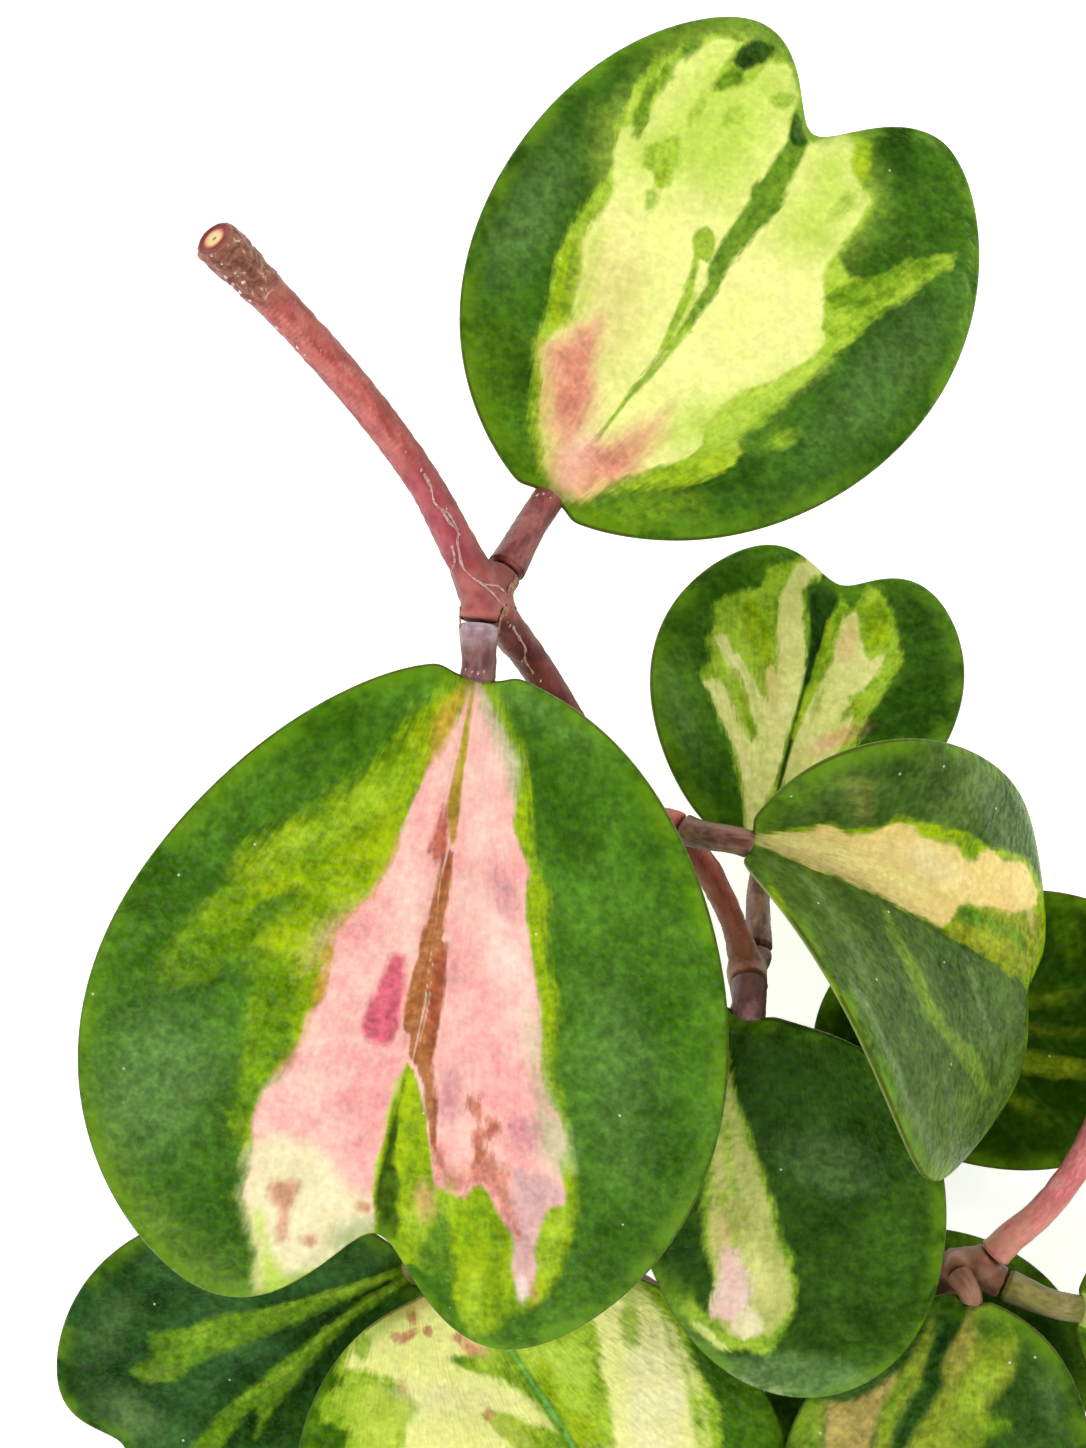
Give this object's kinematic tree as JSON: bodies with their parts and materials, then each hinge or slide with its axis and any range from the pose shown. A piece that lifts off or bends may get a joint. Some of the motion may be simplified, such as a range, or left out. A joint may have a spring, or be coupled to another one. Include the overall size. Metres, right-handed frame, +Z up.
{
  "type": "cut vine",
  "caption": "Cut vine of a sweetheart hoya with thick heart-shaped leaves, variegated along the middle, on a woody stem with nodes and a young pink runner, lying on a surface.",
  "frame": {"origin": "on the surface the vine lies on, under the middle of its outline seen from above", "axes": "+Z up from the surface; +Y along the vine's length, towards the upper leaf and the trimmed stem end; +X to the right of it, seen from above"},
  "size_m": [0.2006, 0.2512, 0.063],
  "materials": {
    "woody_stem": "satin",
    "young_stem": "satin",
    "brown_stalk": "satin",
    "pale_stalk": "satin",
    "leaf_blade": "waxy satin"
  },
  "bodies": {
    "root": {"vine_stem": "woody_stem", "pink_runner": "young_stem", "stalk_front": "brown_stalk", "stalk_upper": "brown_stalk", "stalk_folded": "brown_stalk", "stalk_back": "brown_stalk", "stalk_middle": "brown_stalk", "stalk_right": "brown_stalk", "stalk_bottom": "pale_stalk", "stalk_left": "pale_stalk", "stalk_low_right": "pale_stalk", "stalk_far_right": "pale_stalk", "stalk_under": "pale_stalk", "blade_front": "leaf_blade", "blade_upper": "leaf_blade", "blade_back": "leaf_blade", "blade_folded": "leaf_blade", "blade_right": "leaf_blade", "blade_middle": "leaf_blade", "blade_bottom": "leaf_blade", "blade_left": "leaf_blade", "blade_low_right": "leaf_blade", "blade_far_right": "leaf_blade", "blade_under": "leaf_blade"}
  },
  "joints": []
}
